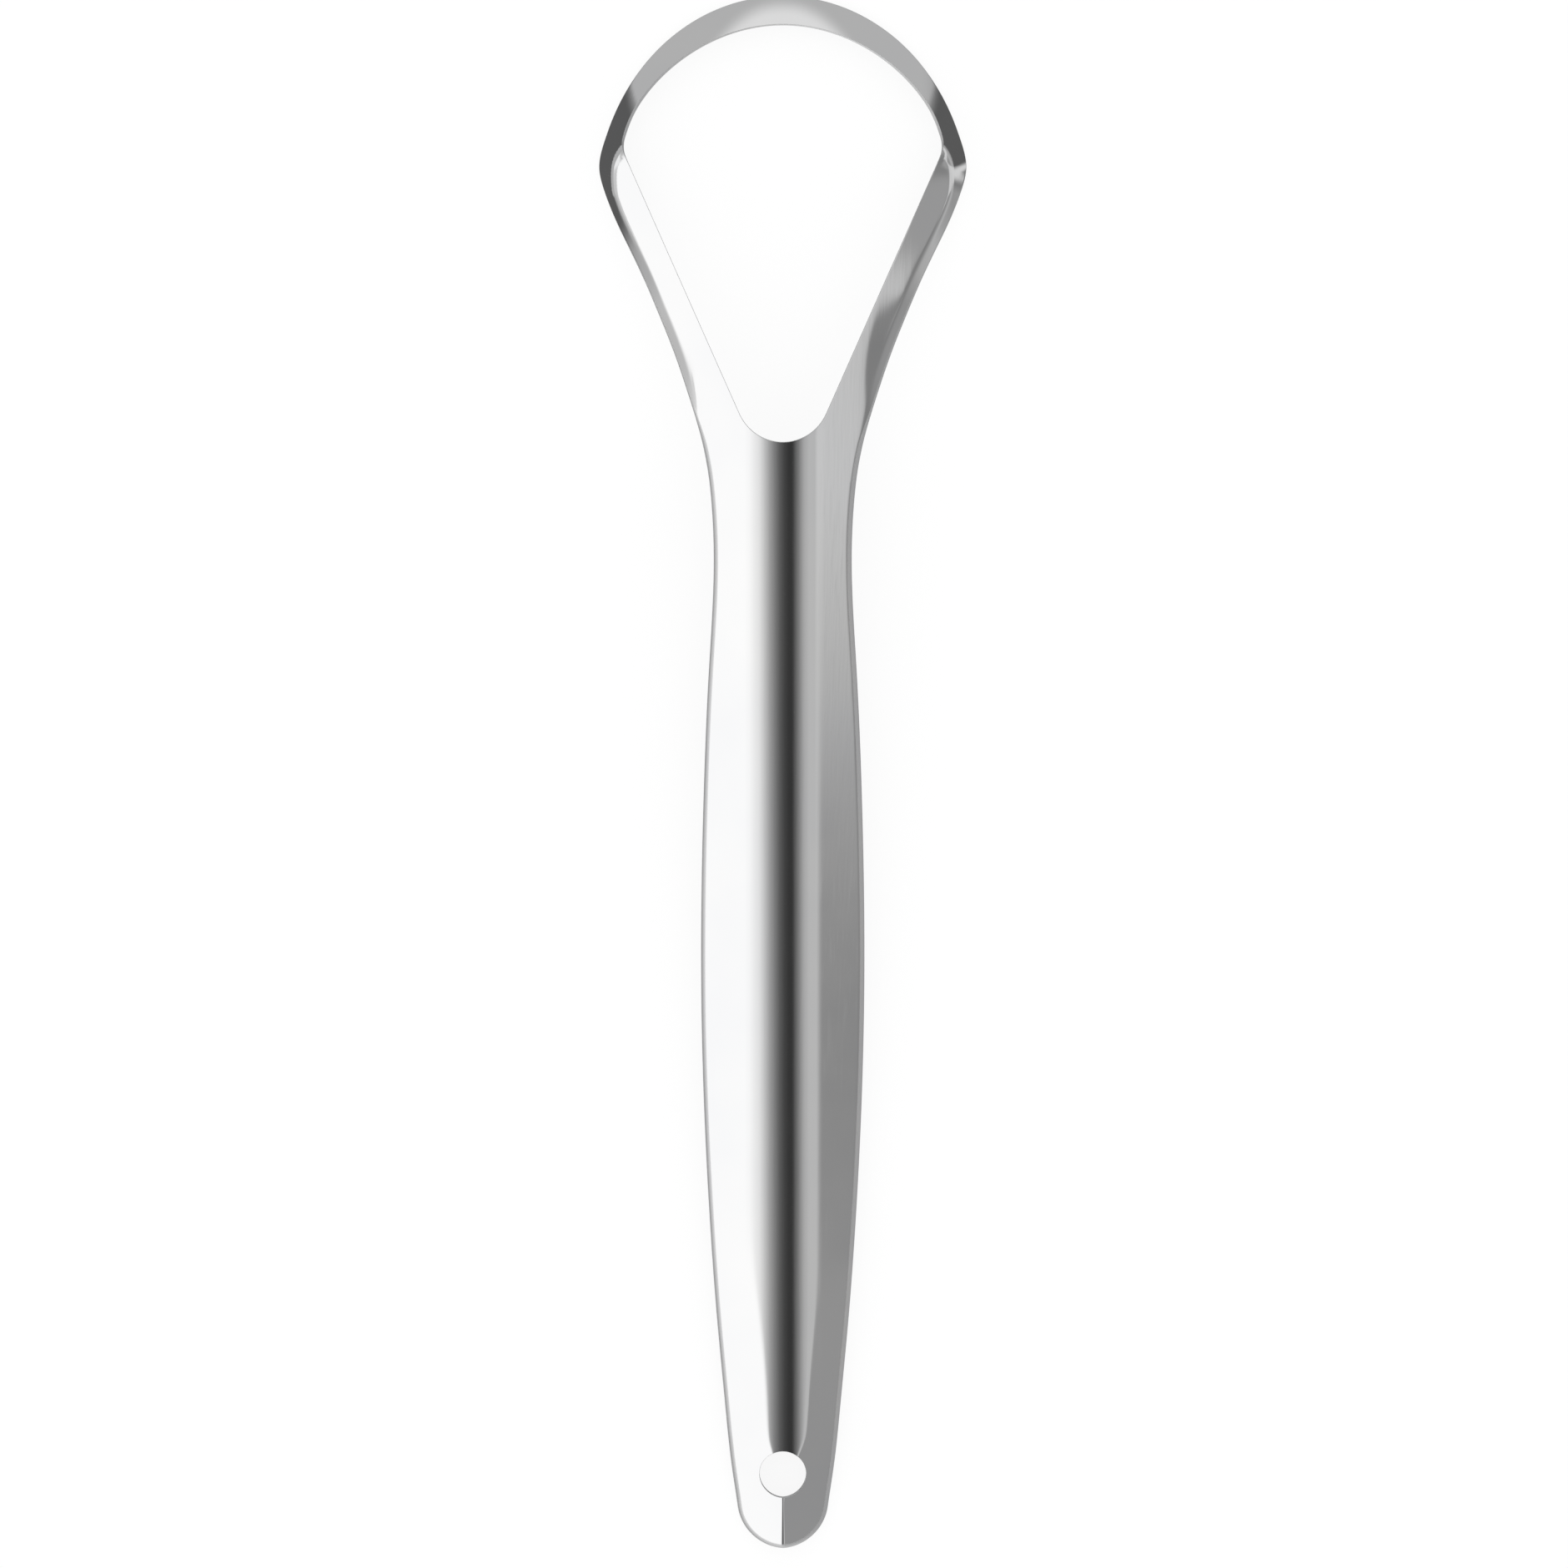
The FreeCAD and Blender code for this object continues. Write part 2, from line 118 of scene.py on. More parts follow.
# The sheet: one gauge thick about a middle surface, with rounded edges. Half of its plan is given, and the
# other half is its mirror image.
sheet = {
    "gauge": 1.0,
    "slope": 28.0,
    "crownRadius": 8.5,
    "handleRound": 0.48,  # how far each edge is rounded over
    "headRound": 0.2,
    "innerRound": 0.035,
    "holeRound": 0.035,
    "roundChange": (106.0, 111.0),
    "headInset": 0.27,  # more for the lean of the outer edge on the head
    "headInsetOver": (117.0, 133.0),
    "cornerInset": (0.06, 130.5, 2.5),  # height, middle and width of a bell
    "sideInset": (-0.12, 137.0, 1.8),
    "tipRadius": 4.4,
    "tipFlare": 8.0,
    "tailY": 14.0,
    "holeY": 7.25,
    "holeRadius": 2.25,
    "edgeY": [3.79, 7.7, 14.0, 22.0, 30.0, 53.0, 74.0, 85.0, 95.0, 101.0, 105.0, 109.0, 112.0, 115.7, 119.0,
              122.2, 125.4, 128.6, 130.2],
    "edgeX": [4.357, 4.93, 5.60, 6.35, 6.95, 7.87, 7.60, 7.12, 6.65, 6.86, 7.36, 8.34, 9.28, 10.57, 11.90,
              13.30, 14.85, 16.40, 17.06],
    "headFrom": 9,  # the head's own line starts at this station of the edge
    "neckY": 103.0,
    "joinY": 106.0,
    "cornerX": [17.58, 17.80, 17.50],
    "cornerY": [131.8, 133.4, 135.0],
    "innerCorner": (15.6, 135.25),
    "cornerCut": 1.0,
    "throatCentre": 111.57,
    "throatRadius": 4.57,
    "armAngle": 24.1,
    "archCentre": 132.4,
    "archRadius": 17.6,
    "archSlimming": 0.42,
    "archStations": [14, 22, 32, 44, 56, 68, 80, 90],
    "stripWidth": 3.3,
    "crestTilt": 28.5,
    "sideTilt": 63.5,
    "tiltGain": 40.0,
    "tiltRound": 4.0,
    "sideWidening": 0.1,
    "sideWideningOver": (8.0, 26.0),
}
grid = {
    "ring": (36, 18, 46, 26, 14, 70),  # cross lines from the throat to the crest, between the marks
    "ringRows": 30,
    "throatPoint": 170,
    "innerMarks": [(5.2, 112.0), (12.36, 128.0)],
    "outerMarks": [(8.3, 110.4), (15.0, 126.8), (17.0, 135.2)],
    "archMark": 24.0,
    "archMarkAbove": 134.0,
    "handleRows": 180,
    "tail": (28, 26),
    "tailRows": 20,
    "holeSplit": 38.0,
    "rimSteps": 7,
}
half = sheet["gauge"] / 2
rise = math.tan(math.radians(sheet["slope"]))
armLean = math.radians(sheet["armAngle"])


def archTilt(angle):
    # Lean of the arch strip: least at the crest, more by the square of the cosine, levelling off at the sides.
    lean = sheet["crestTilt"] + sheet["tiltGain"] * np.cos(angle) ** 2
    return np.radians(sheet["sideTilt"] - soft(sheet["sideTilt"] - lean, sheet["tiltRound"]))


def archRadius(angle):
    # A circle slimmed between crest and side, by the sine of twice the angle times its cosine.
    return sheet["archRadius"] - sheet["archSlimming"] * np.sin(2 * angle) * np.cos(angle)


def polar(radius, angle):
    # Plan points at a radius and an angle round the arch's centre.
    return np.stack([radius * np.cos(angle), sheet["archCentre"] + radius * np.sin(angle)], axis=1)


def inset(path, distance):
    # The path moved sideways in plan, to the left of its direction.
    way = np.gradient(path, axis=0)
    way /= np.linalg.norm(way, axis=1)[:, None]
    return path + np.reshape(distance, (-1, 1)) * np.stack([-way[:, 1], way[:, 0]], axis=1)


def edgeRound(y):
    # The outer edge's rounding: one value on the handle, another on the head, and a smooth step between.
    handleRound, headRound = sheet["handleRound"], sheet["headRound"]
    return headRound + (handleRound - headRound) * (1 - smooth(*sheet["roundChange"], y))


def edgeInset(y):
    # How far the middle surface stops short of the outline: the rounding, and on the head also its lean.
    lean = sheet["headInset"] * smooth(*sheet["headInsetOver"], y)
    return edgeRound(y) + lean + (bell(*sheet["cornerInset"], y) + bell(*sheet["sideInset"], y))


def edgeHalf(y):
    # Half the handle's width: a spline through the stations that starts at the tip's flare.
    return spline(sheet["edgeY"], sheet["edgeX"], y, math.tan(math.radians(sheet["tipFlare"])))


def atArchMark(path):
    # The point of a path that lies at the mark's angle round the arch's centre.
    around = np.arctan2(path[:, 1] - sheet["archCentre"], path[:, 0])
    away = np.abs(around - math.radians(grid["archMark"]))
    return path[np.argmin(np.where(path[:, 1] < grid["archMarkAbove"], np.inf, away))]


# Outer plan line from the neck to the crest. Its spline runs three stations past the crest.
stations = np.radians(sheet["archStations"])
archKnots = polar(archRadius(stations), stations)
outerKnots = np.concatenate([
    np.stack([sheet["edgeX"], sheet["edgeY"]], axis=1)[sheet["headFrom"]:],
    np.stack([sheet["cornerX"], sheet["cornerY"]], axis=1),
    archKnots,
    archKnots[-2:-5:-1] * [-1, 1],
])
chord = np.concatenate([[0], np.cumsum(np.linalg.norm(np.diff(outerKnots, axis=0), axis=1))])
dense = np.linspace(0, chord[-4], 4000)
headLine = np.stack([spline(chord, outerKnots[:, k], dense) for k in (0, 1)], axis=1)
neckToJoin = np.linspace(sheet["neckY"], sheet["joinY"], 200)
neckLine = np.stack([edgeHalf(neckToJoin), neckToJoin], axis=1)
outline = np.concatenate([neckLine, headLine[headLine[:, 1] > sheet["joinY"] + 0.01]])
outerPath = inset(outline, edgeInset(outline[:, 1]))

# Inner plan line from the throat to the crest: an arc, a straight arm, a bend at the corner and the arch.
throatAngles = np.radians(np.linspace(-90, -sheet["armAngle"], 300))
throatPath = np.stack([sheet["throatRadius"] * np.cos(throatAngles),
                       sheet["throatCentre"] + sheet["throatRadius"] * np.sin(throatAngles)], axis=1)
corner = np.array(sheet["innerCorner"])
armWay = np.array([math.sin(armLean), math.cos(armLean)])
armPath = np.linspace(throatPath[-1], corner - sheet["cornerCut"] * armWay, 800)[1:]
archAngles = np.linspace(stations[0], stations[-1], 1500)
widening = 1 - smooth(*np.radians(sheet["sideWideningOver"]), archAngles)
innerRadius = archRadius(archAngles) - sheet["stripWidth"] * np.cos(archTilt(archAngles))
archPath = polar(innerRadius - sheet["sideWidening"] * widening, archAngles)
turnAt = np.linspace(0, 1, 120)[1:-1, None]
bendPath = (1 - turnAt) ** 2 * armPath[-1] + 2 * turnAt * (1 - turnAt) * corner + turnAt ** 2 * archPath[0]
innerPath = inset(np.concatenate([throatPath, armPath, bendPath, archPath]), -sheet["innerRound"])

# The ring round the opening runs from the throat, up the right arm and round the arch to the crest.
columns = grid["ring"][0]  # cross lines that meet the handle
innerMarks = [innerPath[0], innerPath[grid["throatPoint"]], *grid["innerMarks"], corner, atArchMark(innerPath),
              innerPath[-1]]
outerMarks = [outerPath[0], *grid["outerMarks"], atArchMark(outerPath), outerPath[-1]]
innerLine, _ = evenly(innerPath, innerMarks, grid["ring"])
outerLine, outerAt = evenly(outerPath, outerMarks, grid["ring"][1:])
cornerAt = outerAt[np.argmax(outerLine[:, 0])]
past = np.concatenate([np.full(columns, -40.0), outerAt - cornerAt])  # length along the edge past the corner
neckRow = np.stack([np.linspace(0, outerPath[0, 0], columns, endpoint=False),
                    np.full(columns, sheet["neckY"])], axis=1)
outerLine = np.concatenate([neckRow, outerLine])
print("plan lines", len(innerLine), "cross lines in half the ring")

# The pressed ridge of the handle.
ridge = {
    "shoulder": 0.004,  # depth where the round crown passes into the flanks
    "shoulderRise": 0.16,
    "riseFrom": (4.9, 0.4),  # place and softness
    "riseTo": (10.4, 1.0),
    "shoulderMore": 0.23,
    "moreOver": (9.0, 30.0),
    "ground": 0.22,  # more taken off the left flank toward the tail
    "groundFrom": (5.0, 10.0),
    "groundTo": (14.0, 38.0),
    "leastRoot": 0.0039,
    "tipDrop": 0.6,
    "dropFrom": 14.0,
    "seam": 0.03,
}
crownRadius = sheet["crownRadius"] - half


def roof(x, y):
    # Middle surface of the handle and arms: a round crown between two straight flanks. Toward the hole the
    # flanks close in on the crown, and behind it they meet in a ridge line that falls toward the tip.
    across = np.abs(x)
    ground = np.where(x < 0, ridge["ground"], 0.0) * (1 - smooth(*ridge["groundTo"], y))
    ground *= smooth(*ridge["groundFrom"], y)
    (fromY, fromSoft), (toY, toSoft) = ridge["riseFrom"], ridge["riseTo"]
    climb = ridge["shoulderRise"] * (soft(y - fromY, fromSoft) - soft(y - toY, toSoft))
    shoulder = ridge["shoulder"] + climb + ridge["shoulderMore"] * smooth(*ridge["moreOver"], y) - ground
    root = np.sqrt(np.maximum(rise ** 2 - 2 * shoulder / crownRadius, ridge["leastRoot"]))
    crownHalf = crownRadius * (rise - root)
    drop = ridge["tipDrop"] * (1 - np.clip(y, 0, ridge["dropFrom"]) / ridge["dropFrom"]) ** 2
    depth = crownRadius - np.sqrt(crownRadius ** 2 - crownHalf ** 2)
    inside = np.minimum(across, crownHalf)
    crown = crownRadius - np.sqrt(crownRadius ** 2 - inside ** 2)
    crown += (across - inside) * crownHalf / (crownRadius - depth)
    return -half - drop - crown - soft(depth + (across - crownHalf) * rise - crown, ridge["seam"])


# The arms: their bend, and a flange along the outer edge. The flange's values stand beside the length past
# the corner at which they hold.
arms = {
    "bend": 0.14,
    "bendSoft": 0.25,
    "bendX": 8.2,
    "bendY": 113.0,
    "bendCurve": 0.02,
    "bendFrom": (107.0, 110.5),
    "bendTo": (113.0, 122.0),
    "twist": 0.07,
    "twistX": 9.0,
    "twistOver": (121.0, 133.0),
    "foldAt": [-30, -26, -22, -3, 0, 0.8, 2, 6],
    "fold": [0.3, 0.5, 0.8, 1.15, 1.7, 1.9, 2.1, 2.2],  # width of the flange
    "steepAt": [-30, -26, -20, -14.5, -11, -8.6, -4.3, -3, 0],
    "steep": [0, 0.1, 0.25, 0.35, 0.65, 0.75, 1.2, 1.5, 1.6],  # its fall over its width
    "creaseAt": [-6, 0],
    "crease": [0.12, 0.16],
    "leastRoom": 0.02,
    "roomSoft": 0.1,
}
arch = {
    "overhang": 0.1,
    "crown": 0.05,  # the strip is slightly round across
    "from": (-0.5, 5.0),
}


def armBend(x, y):
    # Past a line along the shoulder each arm dips a little more. Toward the corner it twists down again.
    line = arms["bendX"] + arms["bendCurve"] * (y - arms["bendY"]) ** 2
    fade = smooth(*arms["bendFrom"], y) * (1 - smooth(*arms["bendTo"], y))
    twist = arms["twist"] * smooth(*arms["twistOver"], y) * (np.abs(x) - arms["twistX"])
    return arms["bend"] * fade * soft(np.abs(x) - line, arms["bendSoft"]) + twist


def bentRoof(x, y):
    # The roof less the bend of the arms.
    return roof(x, y) - armBend(x, y)


def ringHeight(plan, share, across):
    # Arms: the roof less the bend and less a flange that grows toward the corner. Arch: a leaning strip
    # whose lower edge lies on the table. The two are blended round the corner.
    pastCorner = past[:, None]
    inward = across * (1 - share)
    fold = np.interp(pastCorner, arms["foldAt"], arms["fold"])
    steep = np.interp(pastCorner, arms["steepAt"], arms["steep"])
    crease = np.interp(pastCorner, arms["creaseAt"], arms["crease"])
    edgeX, edgeY = outerLine[:, :1], outerLine[:, 1:]
    lean = archTilt(np.arctan2(edgeY - sheet["archCentre"], edgeX))
    foot = tableHeight(edgeY) + sheet["headRound"] * np.sin(lean) + half * np.cos(lean)
    kept = edgeInset(edgeY)
    room = np.maximum(bentRoof(edgeX, edgeY) - foot, arms["leastRoom"])
    most = room / soft(fold - kept, crease)  # the flange stops at the table
    steep = most - soft(most - steep, arms["roomSoft"])
    armHeight = bentRoof(plan[..., 0], plan[..., 1]) - steep * soft(fold - inward - kept, crease)
    reach = np.minimum(across, sheet["stripWidth"] * np.cos(lean) + arch["overhang"])
    crowned = arch["crown"] * inward * (across - inward)
    archHeight = foot + np.tan(lean) * reach * (1 - share) + crowned
    return armHeight + (archHeight - armHeight) * smooth(*arch["from"], pastCorner)


share = np.linspace(0, 1, grid["ringRows"] + 1)[None, :]
plan = innerLine[:, None] * (1 - share[..., None]) + outerLine[:, None] * share[..., None]
across = np.linalg.norm(outerLine - innerLine, axis=1)[:, None]
ringHalf = np.concatenate([plan, ringHeight(plan, share, across)[..., None]], axis=-1)
meeting = ringHalf[:columns + 1]  # the cross lines that run down to the handle keep to its roof
meeting[..., 2] = bentRoof(meeting[..., 0], meeting[..., 1])
ring = np.concatenate([ringHalf, (ringHalf * [-1, 1, 1])[-2:0:-1]])  # closed, from the throat and back to it

# The handle: rows across it from the neck to the tail.
handleY = np.linspace(sheet["neckY"], sheet["tailY"], grid["handleRows"])
handleHalf = edgeHalf(handleY)[:, None] - sheet["handleRound"]
gridX = handleHalf * np.linspace(-1, 1, 2 * columns + 1)[None, :]
gridY = np.broadcast_to(handleY[:, None], gridX.shape)
handle = np.stack([gridX, gridY, bentRoof(gridX, gridY)], axis=-1)

# The tail: a second ring from the hanging hole out to the row at the tail, the edges and the tip.
tipAngle = np.linspace(-math.radians(sheet["tipFlare"]), -math.pi / 2, 200)
sideY = np.linspace(sheet["tailY"], sheet["edgeY"][0], 300)
sidePath = np.stack([edgeHalf(sideY), sideY], axis=1)
tipPath = sheet["tipRadius"] * np.stack([np.cos(tipAngle), 1 + np.sin(tipAngle)], axis=1)
tailPath = inset(np.concatenate([sidePath, tipPath[1:]]), -sheet["handleRound"])
tailPath[0] = handleHalf[-1, 0], sheet["tailY"]
tailPath[-1] = 0, sheet["handleRound"]
tailLine, _ = evenly(tailPath, [tailPath[0], tailPath[len(sidePath)], tailPath[-1]], grid["tail"])
tailTop = handle[-1, columns:-1, :2]
tailHalf = np.concatenate([tailTop, tailLine])
holeAngle = np.radians(np.concatenate([np.linspace(90, grid["holeSplit"], len(tailTop), endpoint=False),
                                       np.linspace(grid["holeSplit"], -90, len(tailLine))]))
holeEdge = sheet["holeRadius"] + sheet["holeRound"]
holeHalf = np.stack([holeEdge * np.cos(holeAngle), sheet["holeY"] + holeEdge * np.sin(holeAngle)], axis=1)
tailShare = np.linspace(0, 1, grid["tailRows"] + 1)[None, :, None]
tailPlan = holeHalf[:, None] * (1 - tailShare) + tailHalf[:, None] * tailShare
tailPlan = np.concatenate([tailPlan, (tailPlan * [-1, 1])[-2:0:-1]])
tailRing = np.concatenate([tailPlan, roof(tailPlan[..., 0], tailPlan[..., 1])[..., None]], axis=-1)
print("middle surface", ring.shape, handle.shape, tailRing.shape)


def numbered(patch, first):
    # Running numbers for the points of a patch, laid out as its grid.
    return np.arange(patch[..., 0].size).reshape(patch.shape[:2]) + first


def quads(ids, closed=False):
    # Four neighbours of the grid make a face, and a closed grid also joins its last row to its first.
    if closed:
        ids = np.concatenate([ids, ids[:1]])
    return np.stack([ids[:-1, :-1], ids[1:, :-1], ids[1:, 1:], ids[:-1, 1:]], axis=-1).reshape(-1, 4)


# One mesh of the three patches. Shared points are numbered once.
ringIds = numbered(ring, 0)
handleIds = numbered(handle[1:-1], ringIds.size)
tailIds = numbered(tailRing, ringIds.size + handleIds.size)
shared = np.arange(-columns, columns + 1)
handleIds = np.concatenate([ringIds[shared, -1][None], handleIds, tailIds[shared, -1][None]])
middle = np.concatenate([patch.reshape(-1, 3) for patch in (ring, handle[1:-1], tailRing)])
faces = np.concatenate([quads(ringIds, True), quads(handleIds), quads(tailIds, True)])
first, second, third = (middle[faces[:, k]] for k in (0, 1, 2))
down = np.cross(second - first, third - first)[:, 2] < 0
faces[down] = faces[down][:, ::-1]  # every face looks up
cross = np.cross(middle[faces[:, 2]] - middle[faces[:, 0]], middle[faces[:, 3]] - middle[faces[:, 1]])
normal = np.zeros_like(middle)
for k in range(4):
    np.add.at(normal, faces[:, k], cross)
normal /= np.linalg.norm(normal, axis=1)[:, None]

# The sheet is thickened upright, as it is cut, but square to itself at the steep outer edge of the head.
thick = {
    "squareOver": (-18.0, 0.0),  # lengths past the corner
    "innerSquare": 0.25,
    "innerSquareOver": (-1.0, 4.0),
    "archOver": (0.0, 4.0),
    "leastUp": 0.3,
}
outerSquare = smooth(*thick["squareOver"], past)[:, None] * share
innerSquare = thick["innerSquare"] * smooth(*thick["innerSquareOver"], past)[:, None] * (1 - share)
ringSquare = outerSquare + innerSquare
square = np.zeros(len(middle))
square[ringIds] = np.concatenate([ringSquare, ringSquare[-2:0:-1]])
flankX = crownRadius * math.sin(math.radians(sheet["slope"]))
upright = half / np.sqrt(1 - (np.minimum(np.abs(middle[:, 0]), flankX) / crownRadius) ** 2)
onArch = smooth(*thick["archOver"], np.concatenate([past, past[-2:0:-1]]))[:, None]
upright[ringIds] += onArch * (half / np.maximum(normal[ringIds, 2], thick["leastUp"]) - upright[ringIds])
through = normal * (half * square)[:, None]
through[:, 2] += (1 - square) * upright

# The rim of each edge: the front is rounded over, then a straight cut, then the back is rounded under.
outerEdge = np.concatenate([
    ringIds[columns:len(ring) - columns + 1, -1],
    handleIds[1:-1, 0],
    tailIds[columns:len(tailRing) - columns + 1, -1][::-1],
    handleIds[1:-1, -1][::-1],
])
rims = [
    (outerEdge, edgeRound(middle[outerEdge, 1])),
    (ringIds[::-1, 0], np.full(len(ring), sheet["innerRound"])),
    (tailIds[:, 0], np.full(len(tailRing), sheet["holeRound"])),
]
rimAt = np.linspace(0, 1, grid["rimSteps"] + 1)[None, 1:, None]


def rounded(start, aim, end):
    # A quadratic curve for each point of the edge, from the start toward the aim and on to the end.
    return ((1 - rimAt) ** 2 * start[:, None] + 2 * rimAt * (1 - rimAt) * aim[:, None]
            + rimAt ** 2 * end[:, None])


backFrom = len(middle)
rimFrom = used = 2 * backFrom
points = [middle + through, middle - through]
shell = [faces, faces[:, ::-1] + backFrom]
for edgeIds, rounding in rims:
    base, deep, width = middle[edgeIds], through[edgeIds], rounding[:, None]
    way = np.roll(base, -1, axis=0) - np.roll(base, 1, axis=0)
    deepWay = deep / np.linalg.norm(deep, axis=1)[:, None]
    out = np.cross(way, deepWay)
    out /= np.linalg.norm(out, axis=1)[:, None]
    fall = -np.sum(out * normal[edgeIds], axis=1) / np.sum(deepWay * normal[edgeIds], axis=1)
    lip = width * (out + fall[:, None] * deepWay)
    front = rounded(base + deep, base + deep + lip, base + deep + lip - width * deepWay)
    back = rounded(base - deep, base - deep + lip, base - deep + lip + width * deepWay)
    rimPoints = np.concatenate([front, back[:, ::-1]], axis=1)
    rimIds = numbered(rimPoints, used)
    rimIds = np.concatenate([edgeIds[:, None], rimIds, edgeIds[:, None] + backFrom], axis=1)
    points.append(rimPoints.reshape(-1, 3))
    shell.append(quads(rimIds, True)[:, ::-1])
    used += rimPoints[..., 0].size
points = np.concatenate(points)
shell = np.concatenate(shell)
print("sheet", len(points), "points", len(shell), "faces")


def makeMesh(name, places, quadFaces):
    # A smooth mesh object of four-sided faces, with its place in its points.
    mesh = bpy.data.meshes.new(name)
    mesh.vertices.add(len(places))
    mesh.vertices.foreach_set("co", places.astype(np.float32).ravel())
    mesh.loops.add(quadFaces.size)
    mesh.loops.foreach_set("vertex_index", quadFaces.astype(np.int32).ravel())
    mesh.polygons.add(len(quadFaces))
    mesh.polygons.foreach_set("loop_start", np.arange(0, quadFaces.size, 4, dtype=np.int32))
    mesh.polygons.foreach_set("use_smooth", np.ones(len(quadFaces), bool))
    mesh.update(calc_edges=True)
    mesh.validate()
    thing = bpy.data.objects.new(name, mesh)
    bpy.context.scene.collection.objects.link(thing)
    return thing


scraper = makeMesh("scraper_sheet", toTable(points), shell)
rimLayer = scraper.data.attributes.new("rim", "FLOAT", "POINT")
rimLayer.data.foreach_set("value", (np.arange(len(points)) >= rimFrom).astype(np.float32))


def newMaterial(name):
    made = bpy.data.materials.new(name)
    made.use_nodes = True
    tree = made.node_tree
    return made, tree.nodes, tree.links, tree.nodes["Principled BSDF"]


# The next four work in the node tree that nodes and links name at the time.
def calc(operation, *values):
    node = nodes.new("ShaderNodeMath")
    node.operation = operation
    for k, value in enumerate(values):
        if isinstance(value, (int, float)):
            node.inputs[k].default_value = value
        else:
            links.new(value, node.inputs[k])
    return node.outputs[0]


def mapped(kind, value, start, end, low, high):
    # Low at the start, high at the end, and between them a straight line or a smooth step.
    node = nodes.new("ShaderNodeMapRange")
    node.interpolation_type = kind
    links.new(value, node.inputs["Value"])
    for name, number in (("From Min", start), ("From Max", end), ("To Min", low), ("To Max", high)):
        node.inputs[name].default_value = number
    return node.outputs["Result"]


def noise(vector, scale, detail):
    node = nodes.new("ShaderNodeTexNoise")
    node.inputs["Scale"].default_value = scale
    node.inputs["Detail"].default_value = detail
    links.new(vector, node.inputs["Vector"])
    return node.outputs["Fac"]


def mix(factor, low, high):
    # Low where the factor is 0 and high where it is 1, in proportion between.
    return calc("ADD", calc("MULTIPLY", low, calc("SUBTRACT", 1.0, factor)), calc("MULTIPLY", high, factor))


steel = {
    "dark": (0.648, 0.65, 0.656, 1),
    "pale": (0.672, 0.671, 0.670, 1),
    "cloud": 70.0,  # patches of the polish, a centimetre or two across
    "cloudDetail": 3.0,
    "cloudRange": (0.35, 0.65),
    "polish": (0.045, 0.08),  # roughness of its sharpest and softest patches
    "hair": (3600.0, 130.0, 3600.0),  # hairlines along the handle
    "hairDetail": 4.0,
    "hairRange": (0.55, 0.75),
    "hairRough": 0.03,
    "hairStrength": 0.012,
    "hairDepth": 0.0001,
    "rimRough": 0.5,  # the cut edges are less polished
}
material, nodes, links, shader = newMaterial("polished_steel")
coords = nodes.new("ShaderNodeTexCoord").outputs["Object"]
cloud = noise(coords, steel["cloud"], steel["cloudDetail"])
stretch = nodes.new("ShaderNodeMapping")
stretch.inputs["Scale"].default_value = steel["hair"]
links.new(coords, stretch.inputs["Vector"])
hair = noise(stretch.outputs["Vector"], 1.0, steel["hairDetail"])
rim = nodes.new("ShaderNodeAttribute")
rim.attribute_name = "rim"
tint = nodes.new("ShaderNodeMix")
tint.data_type = "RGBA"
links.new(mapped("LINEAR", cloud, *steel["cloudRange"], 0, 1), tint.inputs["Factor"])
tint.inputs[6].default_value = steel["dark"]  # the node's two colours, and below its colour result
tint.inputs[7].default_value = steel["pale"]
links.new(tint.outputs[2], shader.inputs["Base Color"])
polish = mapped("LINEAR", cloud, *steel["cloudRange"], *steel["polish"])
brushed = mapped("LINEAR", hair, *steel["hairRange"], 0, steel["hairRough"])
cut = mapped("LINEAR", rim.outputs["Fac"], 0, 1, 0, steel["rimRough"])
links.new(calc("ADD", calc("ADD", polish, brushed), cut), shader.inputs["Roughness"])
bump = nodes.new("ShaderNodeBump")
bump.inputs["Strength"].default_value = steel["hairStrength"]
bump.inputs["Distance"].default_value = steel["hairDepth"]
links.new(hair, bump.inputs["Height"])
links.new(bump.outputs["Normal"], shader.inputs["Normal"])
shader.inputs["Metallic"].default_value = 1.0
scraper.data.materials.append(material)
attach(scraper, "root")
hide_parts("handle", "right_arm", "left_arm", "scraping_arch")
print("scraper dressed")

# A plain pale floor, in metres.
floor = {
    "reach": 2.0,
    "colour": (0.12, 0.12, 0.12, 1),
    "rough": 0.9,
    "glow": 0.87,
}
floorPlan = np.array([[-1, -1, 0], [1, -1, 0], [1, 1, 0], [-1, 1, 0]])
floorThing = makeMesh("floor", floor["reach"] * floorPlan, np.array([[0, 1, 2, 3]]))
floorMaterial, nodes, links, shader = newMaterial("pale_floor")
shader.inputs["Base Color"].default_value = floor["colour"]
shader.inputs["Roughness"].default_value = floor["rough"]
shader.inputs["Emission Color"].default_value = (1, 1, 1, 1)
shader.inputs["Emission Strength"].default_value = floor["glow"]
seen = nodes.new("ShaderNodeMixShader")  # clear when seen from below
links.new(nodes.new("ShaderNodeNewGeometry").outputs["Backfacing"], seen.inputs[0])
links.new(shader.outputs[0], seen.inputs[1])
links.new(nodes.new("ShaderNodeBsdfTransparent").outputs[0], seen.inputs[2])
links.new(seen.outputs[0], nodes["Material Output"].inputs[0])
floorThing.data.materials.append(floorMaterial)
floorThing.visible_glossy = False
print("floor")

